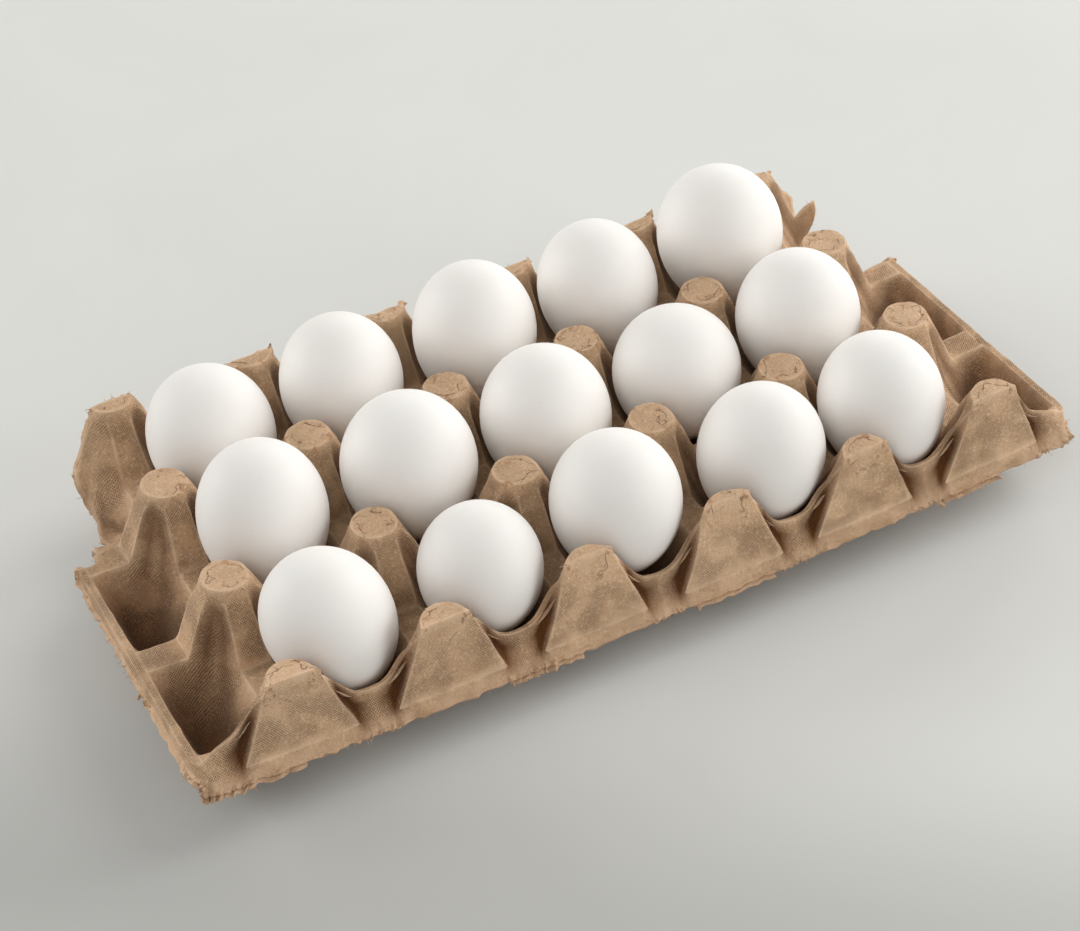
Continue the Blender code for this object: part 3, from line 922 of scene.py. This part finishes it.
def pulp_material(groups):
    """Brown pulp: mesh print, fibres, stains, cracked tops, torn rims, wear and painted highlight
    on folds, painted shade.
    """
    material, nodes, shader = new_material("moulded pulp")
    place = nodes.add("ShaderNodeTexCoord").outputs["Object"]
    fold_wear_and_highlight = attribute(nodes, "fold_wear_and_highlight")
    top = attribute(nodes, "top")
    deep = attribute(nodes, "deep")
    torn = attribute(nodes, "torn")
    printed = nodes.add("ShaderNodeGroup", {}, node_tree=groups["mesh print"])
    fibres = nodes.add("ShaderNodeGroup", {}, node_tree=groups["matted fibres"])
    cracks = nodes.add("ShaderNodeGroup", {}, node_tree=groups["cracks"])
    for group in (printed, fibres, cracks):
        nodes.tree.links.new(place, group.inputs["Place"])
    fine_cracks = cracks.outputs["Cracks"]

    broad = noise(nodes, place, 38.0, 4.0, 0.55)
    cloud = noise(nodes, place, 150.0, 4.0, 0.6)
    base = blend(nodes, ramp(nodes, broad, 0.30, 0.70), PULP_DARK, PULP_LIGHT)
    base = blend(nodes, maths(nodes, "MULTIPLY", ramp(nodes, cloud, 0.45, 0.75), 0.45), base,
                 PULP_GREY)
    stains = ramp(nodes, noise(nodes, place, 55.0, 5.0, 0.62, 0.8), 0.56, 0.72)
    base = blend(nodes, maths(nodes, "MULTIPLY", stains, 0.38), base, PULP_STAIN)
    # Painted shade: the colour in the dents of the mesh print is darkened
    sunk = ramp(nodes, printed.outputs["Height"], 0.35, 0.85, 1.0, 0.0)
    rough = maths(nodes, "MAXIMUM", torn, top)
    quiet = maths(nodes, "SUBTRACT", 1.0, maths(nodes, "MULTIPLY", rough, 0.65))
    patchy = ramp(nodes, noise(nodes, place, 110.0, 3.0), 0.36, 0.60, 0.25, 1.0)
    print_share = maths(nodes, "MULTIPLY", quiet, patchy)
    base = blend(nodes, maths(nodes, "MULTIPLY", maths(nodes, "MULTIPLY", sunk, print_share), 0.90),
                 base, PULP_DEEP)
    grain = noise(nodes, place, 1250.0, 2.0, 0.6)
    base = blend(nodes, ramp(nodes, grain, 0.54, 0.74, 0.0, 0.36), base, PULP_DEEP)
    base = blend(nodes, ramp(nodes, grain, 0.46, 0.28, 0.0, 0.42), base, PULP_FLECK)
    base = blend(nodes, maths(nodes, "MULTIPLY", fibres.outputs["Flecks"], 0.40), base, PULP_FLECK)
    # The crisp folds are lightened, partly as wear and partly as painted highlight
    wear_and_highlight = maths(nodes, "MULTIPLY", maths(nodes, "POWER", fold_wear_and_highlight, 1.6),
                   ramp(nodes, noise(nodes, place, 300.0, 3.0), 0.35, 0.6, 0.45, 1.0))
    base = blend(nodes, wear_and_highlight, base, PULP_RUBBED_AND_HIGHLIT)
    base = blend(nodes, maths(nodes, "MULTIPLY", torn, ramp(nodes, cloud, 0.35, 0.6, 0.3, 0.85)),
                 base, PULP_RUBBED_AND_HIGHLIT)
    blemish = ramp(nodes, noise(nodes, place, 330.0, 4.0, 0.6, 0.5), 0.55, 0.66)
    rim_share = maths(nodes, "MULTIPLY", maths(nodes, "MULTIPLY", top, attribute(nodes, "rim")),
                      blemish)
    base = blend(nodes, maths(nodes, "MULTIPLY", rim_share, 0.75), base, PULP_RUST)
    base = blend(nodes, maths(nodes, "MULTIPLY", top, 0.15), base, PULP_RUBBED_AND_HIGHLIT)
    circling = maths(nodes, "MULTIPLY_ADD", noise(nodes, place, 240.0, 3.0), 0.9,
                     maths(nodes, "SUBTRACT", attribute(nodes, "rim"), 1.22))
    circling = ramp(nodes, maths(nodes, "ABSOLUTE", circling), 0.008, 0.028, 1.0, 0.0)
    broken = ramp(nodes, noise(nodes, place, 170.0, 2.0), 0.48, 0.54)
    split = maths(nodes, "MULTIPLY", maths(nodes, "MULTIPLY", circling, broken), top)
    split = maths(nodes, "MAXIMUM", split, maths(nodes, "MULTIPLY", fine_cracks, top))
    base = blend(nodes, maths(nodes, "MULTIPLY", split, 0.60), base, PULP_CRACK)
    # Painted shade: darker deep in the cups, in the hollows and valleys, and on the skirt's edge
    base = blend(nodes, maths(nodes, "MULTIPLY", maths(nodes, "POWER", deep, 0.8), 0.80), base,
                 blend(nodes, 1.0, base, PULP_SHADE, "MULTIPLY"))
    nodes.tree.links.new(base, shader.inputs["Base Color"])

    weave = maths(nodes, "MULTIPLY", printed.outputs["Height"], print_share)
    matted = maths(nodes, "MULTIPLY", fibres.outputs["Height"],
                   maths(nodes, "MULTIPLY_ADD", torn, 2.6, 0.8))
    height = maths(nodes, "ADD", weave, matted)
    height = maths(nodes, "ADD", height, maths(nodes, "MULTIPLY", cloud, 0.9))
    height = maths(nodes, "SUBTRACT", height, maths(nodes, "MULTIPLY", split, 2.0))
    bump = nodes.add("ShaderNodeBump", {"Height": height, "Strength": 1.0, "Distance": 0.00026})
    nodes.tree.links.new(bump.outputs["Normal"], shader.inputs["Normal"])
    nodes.tree.links.new(ramp(nodes, cloud, 0.3, 0.7, 0.82, 0.97), shader.inputs["Roughness"])
    shader.inputs["Specular IOR Level"].default_value = 0.2
    shader.inputs["Sheen Weight"].default_value = 0.06
    shader.inputs["Sheen Roughness"].default_value = 0.5
    return material


def eggshell_material():
    """Matte white eggshell: fine pores, small bumps and faint warm clouding."""
    material, nodes, shader = new_material("white eggshell")
    place = nodes.add("ShaderNodeTexCoord").outputs["Object"]
    clouds = noise(nodes, place, 90.0, 4.0, 0.55)
    base = blend(nodes, ramp(nodes, clouds, 0.35, 0.70, 0.0, 0.55), SHELL_WHITE, SHELL_CREAM)
    specks = ramp(nodes, noise(nodes, place, 1500.0, 2.0), 0.66, 0.72)
    base = blend(nodes, maths(nodes, "MULTIPLY", specks, 0.25), base, SHELL_SPECK)
    nodes.tree.links.new(base, shader.inputs["Base Color"])
    pores = noise(nodes, place, 1700.0, 3.0)
    swells = noise(nodes, place, 420.0, 2.0)
    height = maths(nodes, "ADD", maths(nodes, "MULTIPLY", pores, 0.5), swells)
    bump = nodes.add("ShaderNodeBump", {"Height": height, "Strength": 0.35, "Distance": 0.0001})
    nodes.tree.links.new(bump.outputs["Normal"], shader.inputs["Normal"])
    shader.inputs["Roughness"].default_value = 0.55
    shader.inputs["Specular IOR Level"].default_value = 0.3
    return material


def floor_material():
    """Pale, faintly clouded floor, with painted shade darkening it towards the front."""
    material, nodes, shader = new_material("pale floor")
    place = nodes.add("ShaderNodeTexCoord").outputs["Object"]
    # Painted shade: the floor darkens towards the front
    ahead = nodes.add("ShaderNodeVectorMath", {0: place, 1: FLOOR_FADE_WAY},
                      operation="DOT_PRODUCT").outputs["Value"]
    base = blend(nodes, ramp(nodes, ahead, *FLOOR_FADE), FLOOR_NEAR_SHADED, FLOOR_FAR)
    clouds = noise(nodes, place, 9.0, 5.0, 0.6, 0.6)
    base = blend(nodes, ramp(nodes, clouds, 0.3, 0.7, 0.0, 0.12), base, FLOOR_CLOUD)
    nodes.tree.links.new(base, shader.inputs["Base Color"])
    shader.inputs["Roughness"].default_value = 0.8
    return material


# ---------------------------------------------------------------- the studio
# Each light's direction, in degrees round from the right, its height in degrees and its watts
STUDIO_LIGHTS = ((0, 18, 32.7), (45, 18, 20.0), (135, 18, 34.6), (180, 18, 3.7), (315, 18, 22.4),
                 (0, 48, 16.6), (225, 48, 14.8))
LIGHT_SIZE = 1.76
LIGHT_DISTANCE = 3.0
LIGHT_CENTRE = 0.03
FLOOR_SIZE = 24.0
FLOOR_GAP = 0.0002
SKY_STRENGTH = 0.4
CAMERA_PLACE = (-0.25876, -0.51696, 0.51275)
CAMERA_TURN = (49.522, 2.459, -28.37)
LENS_LENGTH = 80.137
LENS_SHIFT = -2.5 / 1080


def build_floor():
    """The plain floor, just below the tray."""
    lay_down_tools()
    bpy.ops.mesh.primitive_plane_add(size=FLOOR_SIZE,
                                     location=(0.0, 0.0, cad_box[0][2] - FLOOR_GAP))
    floor = named("floor")
    floor.data.materials.append(floor_material())
    return floor


def studio_light(name, turn, rise, power):
    """A soft round light that faces the tray's middle."""
    light = bpy.data.lights.new(name, "AREA")
    light.shape = "DISK"
    light.size = LIGHT_SIZE
    light.energy = power
    holder = bpy.data.objects.new(name, light)
    away = Vector((math.cos(rise) * math.cos(turn), math.cos(rise) * math.sin(turn),
                   math.sin(rise)))
    holder.location = away * LIGHT_DISTANCE + Vector((0.0, 0.0, LIGHT_CENTRE))
    holder.rotation_euler = away.to_track_quat("Z", "Y").to_euler()
    bpy.context.scene.collection.objects.link(holder)


def build_lights():
    """A ring of soft daylight, strongest from the right and the back."""
    for turn, rise, power in STUDIO_LIGHTS:
        studio_light(f"light_{turn}_{rise}", math.radians(turn), math.radians(rise), power)
    world = bpy.data.worlds.new("studio")
    world.use_nodes = True
    sky = world.node_tree.nodes["Background"]
    sky.inputs["Color"].default_value = (1.0, 1.0, 1.0, 1.0)
    sky.inputs["Strength"].default_value = SKY_STRENGTH
    bpy.context.scene.world = world


def build_camera():
    """The camera above the left front corner."""
    lens = bpy.data.cameras.new("camera")
    lens.lens = LENS_LENGTH
    lens.sensor_width = 36.0
    lens.shift_y = LENS_SHIFT
    lens.clip_start = 0.01
    camera = bpy.data.objects.new("camera", lens)
    camera.location = CAMERA_PLACE
    camera.rotation_euler = [math.radians(angle) for angle in CAMERA_TURN]
    bpy.context.scene.collection.objects.link(camera)
    bpy.context.scene.camera = camera


def main():
    """Make the materials and the pieces, and set up the studio."""
    groups = {tree.name: tree for tree in (mesh_print_group(), fibre_group(), crack_group())}
    pulp = pulp_material(groups)
    shell = eggshell_material()
    tray = build_tray()
    tray.data.materials.append(pulp)
    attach(tray, "root")
    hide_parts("tray")
    fibres = build_fibres(tray)
    fibres.data.materials.append(pulp)
    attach(fibres, "root")
    for row, eggs in EGGS.items():
        for number, (girth, length, lean_back, lean_right) in enumerate(eggs, 1):
            node = f"egg_{row}_{number}"
            egg = build_egg(node, girth / 1000, length / 1000, lean_back, lean_right)
            egg.data.materials.append(shell)
            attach(egg, "root")
            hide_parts(node)
    lay_down_tools()
    build_floor()
    build_lights()
    build_camera()
    view = bpy.context.scene.view_settings
    view.view_transform = "Standard"


main()
